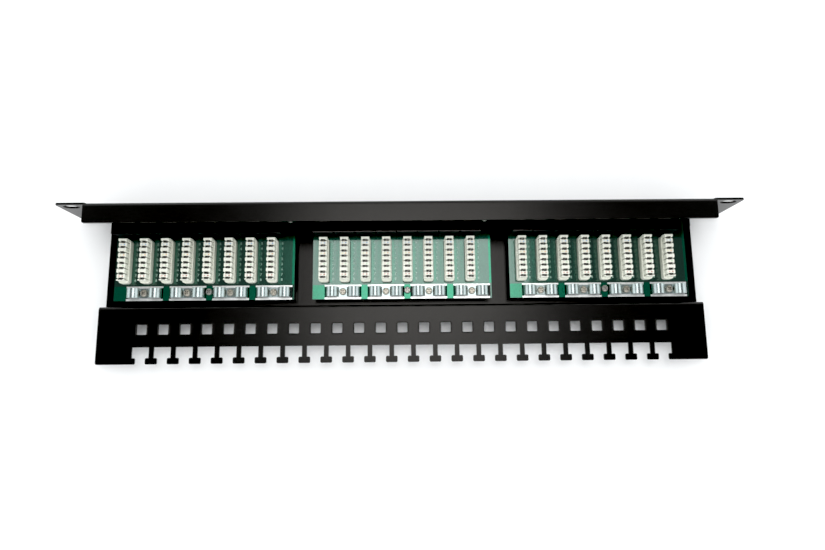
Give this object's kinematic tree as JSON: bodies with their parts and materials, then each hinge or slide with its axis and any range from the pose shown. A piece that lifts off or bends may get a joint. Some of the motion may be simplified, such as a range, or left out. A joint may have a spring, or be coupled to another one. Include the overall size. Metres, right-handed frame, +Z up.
{
  "type": "shielded network patch panel",
  "caption": "Rack-mount shielded network patch panel, open at the top: RJ45 jacks in a black steel front, green boards with ivory wire blocks and screen clamps, slotted rear cable tray.",
  "frame": {"origin": "centre of the four rack slots, on the back plane of the ears, which rests against the rack rails", "axes": "+Z up, -Y out of the face, +Y to the cable tray, +X to the left as seen from behind"},
  "size_m": [0.4826, 0.1112, 0.0436],
  "materials": {
    "black_powder_coat": "black powder coat, fine texture, satin",
    "green_solder_mask": "glossy green solder mask on glass-epoxy laminate",
    "tinned_copper": "tinned copper",
    "ivory_plastic": "moulded, satin",
    "tinned_contact": "tin-plated bronze",
    "nickel_shield": "nickel-plated sheet",
    "black_plastic": "moulded",
    "gold_contact": "gold-plated wire",
    "zinc_steel": "zinc-plated",
    "bright_clamp": "bright nickel-plated strip",
    "yellow_zinc": "pale yellow zinc-plated steel"
  },
  "bodies": {
    "panel": {"front_panel": "black_powder_coat", "base_plate": "black_powder_coat", "cable_tray": "black_powder_coat", "circuit_board_a": "green_solder_mask", "earth_pads_a": "tinned_copper", "idc_blocks_a": "ivory_plastic", "idc_contacts_a": "tinned_contact", "jack_shields_a": "nickel_shield", "jack_housings_a": "black_plastic", "jack_contacts_a": "gold_contact", "circuit_board_b": "green_solder_mask", "earth_pads_b": "tinned_copper", "idc_blocks_b": "ivory_plastic", "idc_contacts_b": "tinned_contact", "jack_shields_b": "nickel_shield", "jack_housings_b": "black_plastic", "jack_contacts_b": "gold_contact", "circuit_board_c": "green_solder_mask", "earth_pads_c": "tinned_copper", "idc_blocks_c": "ivory_plastic", "idc_contacts_c": "tinned_contact", "jack_shields_c": "nickel_shield", "jack_housings_c": "black_plastic", "jack_contacts_c": "gold_contact", "clamp_nuts": "zinc_steel", "board_standoffs": "zinc_steel", "board_screws": "zinc_steel"},
    "clamp_01": {"shield_clamp_01": "bright_clamp"},
    "screw_01": {"clamp_screw_01": "yellow_zinc"},
    "clamp_02": {"shield_clamp_02": "bright_clamp"},
    "screw_02": {"clamp_screw_02": "yellow_zinc"},
    "clamp_03": {"shield_clamp_03": "bright_clamp"},
    "screw_03": {"clamp_screw_03": "yellow_zinc"},
    "clamp_04": {"shield_clamp_04": "bright_clamp"},
    "screw_04": {"clamp_screw_04": "yellow_zinc"},
    "clamp_05": {"shield_clamp_05": "bright_clamp"},
    "screw_05": {"clamp_screw_05": "yellow_zinc"},
    "clamp_06": {"shield_clamp_06": "bright_clamp"},
    "screw_06": {"clamp_screw_06": "yellow_zinc"},
    "clamp_07": {"shield_clamp_07": "bright_clamp"},
    "screw_07": {"clamp_screw_07": "yellow_zinc"},
    "clamp_08": {"shield_clamp_08": "bright_clamp"},
    "screw_08": {"clamp_screw_08": "yellow_zinc"},
    "clamp_09": {"shield_clamp_09": "bright_clamp"},
    "screw_09": {"clamp_screw_09": "yellow_zinc"},
    "clamp_10": {"shield_clamp_10": "bright_clamp"},
    "screw_10": {"clamp_screw_10": "yellow_zinc"},
    "clamp_11": {"shield_clamp_11": "bright_clamp"},
    "screw_11": {"clamp_screw_11": "yellow_zinc"},
    "clamp_12": {"shield_clamp_12": "bright_clamp"},
    "screw_12": {"clamp_screw_12": "yellow_zinc"}
  },
  "joints": [
    {"name": "clamp_lift_01", "type": "slide", "parent": "panel", "child": "clamp_01", "axis": [0, 0, 1], "range_m": [0, 0.0025]},
    {"name": "screw_turn_01", "type": "hinge", "parent": "clamp_01", "child": "screw_01", "pos_m": [0.18735, 0.0586, -0.0073], "axis": [0, 0, 1], "range_deg": [0, 1800]},
    {"name": "clamp_lift_02", "type": "slide", "parent": "panel", "child": "clamp_02", "axis": [0, 0, 1], "range_m": [0, 0.0025]},
    {"name": "screw_turn_02", "type": "hinge", "parent": "clamp_02", "child": "screw_02", "pos_m": [0.15605, 0.0586, -0.0073], "axis": [0, 0, 1], "range_deg": [0, 1800]},
    {"name": "clamp_lift_03", "type": "slide", "parent": "panel", "child": "clamp_03", "axis": [0, 0, 1], "range_m": [0, 0.0025]},
    {"name": "screw_turn_03", "type": "hinge", "parent": "clamp_03", "child": "screw_03", "pos_m": [0.12475, 0.0586, -0.0073], "axis": [0, 0, 1], "range_deg": [0, 1800]},
    {"name": "clamp_lift_04", "type": "slide", "parent": "panel", "child": "clamp_04", "axis": [0, 0, 1], "range_m": [0, 0.0025]},
    {"name": "screw_turn_04", "type": "hinge", "parent": "clamp_04", "child": "screw_04", "pos_m": [0.09345, 0.0586, -0.0073], "axis": [0, 0, 1], "range_deg": [0, 1800]},
    {"name": "clamp_lift_05", "type": "slide", "parent": "panel", "child": "clamp_05", "axis": [0, 0, 1], "range_m": [0, 0.0025]},
    {"name": "screw_turn_05", "type": "hinge", "parent": "clamp_05", "child": "screw_05", "pos_m": [0.04315, 0.0586, -0.0073], "axis": [0, 0, 1], "range_deg": [0, 1800]},
    {"name": "clamp_lift_06", "type": "slide", "parent": "panel", "child": "clamp_06", "axis": [0, 0, 1], "range_m": [0, 0.0025]},
    {"name": "screw_turn_06", "type": "hinge", "parent": "clamp_06", "child": "screw_06", "pos_m": [0.01185, 0.0586, -0.0073], "axis": [0, 0, 1], "range_deg": [0, 1800]},
    {"name": "clamp_lift_07", "type": "slide", "parent": "panel", "child": "clamp_07", "axis": [0, 0, 1], "range_m": [0, 0.0025]},
    {"name": "screw_turn_07", "type": "hinge", "parent": "clamp_07", "child": "screw_07", "pos_m": [-0.01945, 0.0586, -0.0073], "axis": [0, 0, 1], "range_deg": [0, 1800]},
    {"name": "clamp_lift_08", "type": "slide", "parent": "panel", "child": "clamp_08", "axis": [0, 0, 1], "range_m": [0, 0.0025]},
    {"name": "screw_turn_08", "type": "hinge", "parent": "clamp_08", "child": "screw_08", "pos_m": [-0.05075, 0.0586, -0.0073], "axis": [0, 0, 1], "range_deg": [0, 1800]},
    {"name": "clamp_lift_09", "type": "slide", "parent": "panel", "child": "clamp_09", "axis": [0, 0, 1], "range_m": [0, 0.0025]},
    {"name": "screw_turn_09", "type": "hinge", "parent": "clamp_09", "child": "screw_09", "pos_m": [-0.10105, 0.0586, -0.0073], "axis": [0, 0, 1], "range_deg": [0, 1800]},
    {"name": "clamp_lift_10", "type": "slide", "parent": "panel", "child": "clamp_10", "axis": [0, 0, 1], "range_m": [0, 0.0025]},
    {"name": "screw_turn_10", "type": "hinge", "parent": "clamp_10", "child": "screw_10", "pos_m": [-0.13235, 0.0586, -0.0073], "axis": [0, 0, 1], "range_deg": [0, 1800]},
    {"name": "clamp_lift_11", "type": "slide", "parent": "panel", "child": "clamp_11", "axis": [0, 0, 1], "range_m": [0, 0.0025]},
    {"name": "screw_turn_11", "type": "hinge", "parent": "clamp_11", "child": "screw_11", "pos_m": [-0.16365, 0.0586, -0.0073], "axis": [0, 0, 1], "range_deg": [0, 1800]},
    {"name": "clamp_lift_12", "type": "slide", "parent": "panel", "child": "clamp_12", "axis": [0, 0, 1], "range_m": [0, 0.0025]},
    {"name": "screw_turn_12", "type": "hinge", "parent": "clamp_12", "child": "screw_12", "pos_m": [-0.19495, 0.0586, -0.0073], "axis": [0, 0, 1], "range_deg": [0, 1800]}
  ],
  "couplings": [
    {"joint": "screw_turn_01", "follows": "clamp_lift_01", "rad_per_m": 12566},
    {"joint": "screw_turn_02", "follows": "clamp_lift_02", "rad_per_m": 12566},
    {"joint": "screw_turn_03", "follows": "clamp_lift_03", "rad_per_m": 12566},
    {"joint": "screw_turn_04", "follows": "clamp_lift_04", "rad_per_m": 12566},
    {"joint": "screw_turn_05", "follows": "clamp_lift_05", "rad_per_m": 12566},
    {"joint": "screw_turn_06", "follows": "clamp_lift_06", "rad_per_m": 12566},
    {"joint": "screw_turn_07", "follows": "clamp_lift_07", "rad_per_m": 12566},
    {"joint": "screw_turn_08", "follows": "clamp_lift_08", "rad_per_m": 12566},
    {"joint": "screw_turn_09", "follows": "clamp_lift_09", "rad_per_m": 12566},
    {"joint": "screw_turn_10", "follows": "clamp_lift_10", "rad_per_m": 12566},
    {"joint": "screw_turn_11", "follows": "clamp_lift_11", "rad_per_m": 12566},
    {"joint": "screw_turn_12", "follows": "clamp_lift_12", "rad_per_m": 12566}
  ]
}
